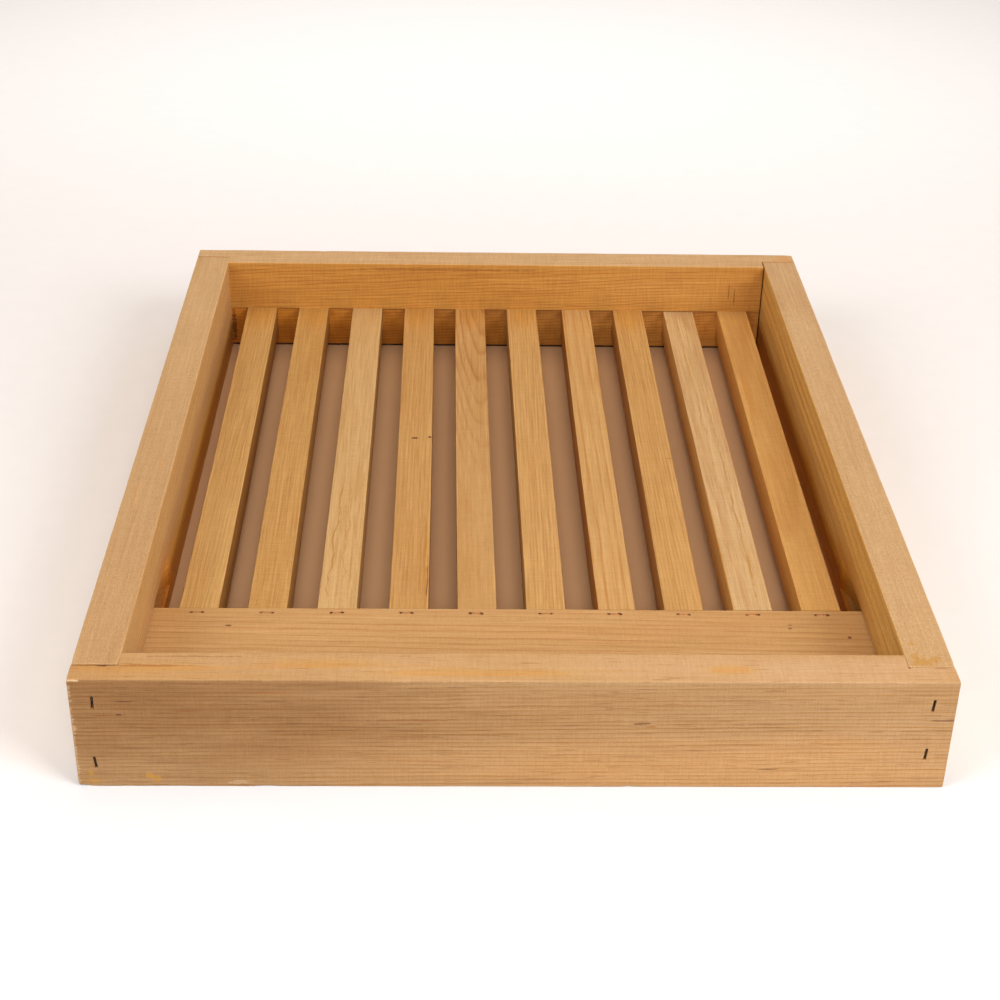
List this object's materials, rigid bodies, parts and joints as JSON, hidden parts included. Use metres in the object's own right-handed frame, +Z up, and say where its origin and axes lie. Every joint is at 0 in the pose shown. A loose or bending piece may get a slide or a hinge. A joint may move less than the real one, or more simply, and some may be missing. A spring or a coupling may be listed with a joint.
{
  "type": "slatted hive rack",
  "caption": "Shallow rectangular pine frame with parallel slats and a front deck board, a slatted rack that sits between a hive body and its floor.",
  "frame": {"origin": "centre of the footprint, on the surface that the rack rests on", "axes": "+X from left to right, +Y from the deck board at the front to the back board, +Z up, with the deep side up"},
  "size_m": [0.4128, 0.5048, 0.062],
  "materials": {
    "front_wood": "planed pine, pale tan with fine straight grain",
    "back_wood": "planed pine, warm orange on the inner face",
    "side_wood": "planed pine, pale honey",
    "deck_wood": "planed pine, honey with straight grain",
    "slat_wood": "planed pine, honey, each slat a little different",
    "staple_steel": "coated steel wire, a little rusted where it shows"
  },
  "bodies": {
    "root": {"front_board": "front_wood", "back_board": "back_wood", "left_board": "side_wood", "right_board": "side_wood", "deck_board": "deck_wood", "slat_1": "slat_wood", "slat_2": "slat_wood", "slat_3": "slat_wood", "slat_4": "slat_wood", "slat_5": "slat_wood", "slat_6": "slat_wood", "slat_7": "slat_wood", "slat_8": "slat_wood", "slat_9": "slat_wood", "slat_10": "slat_wood", "deck_staples": "staple_steel", "front_corner_staples": "staple_steel", "back_corner_staples": "staple_steel", "back_slat_staples": "staple_steel"}
  },
  "joints": []
}
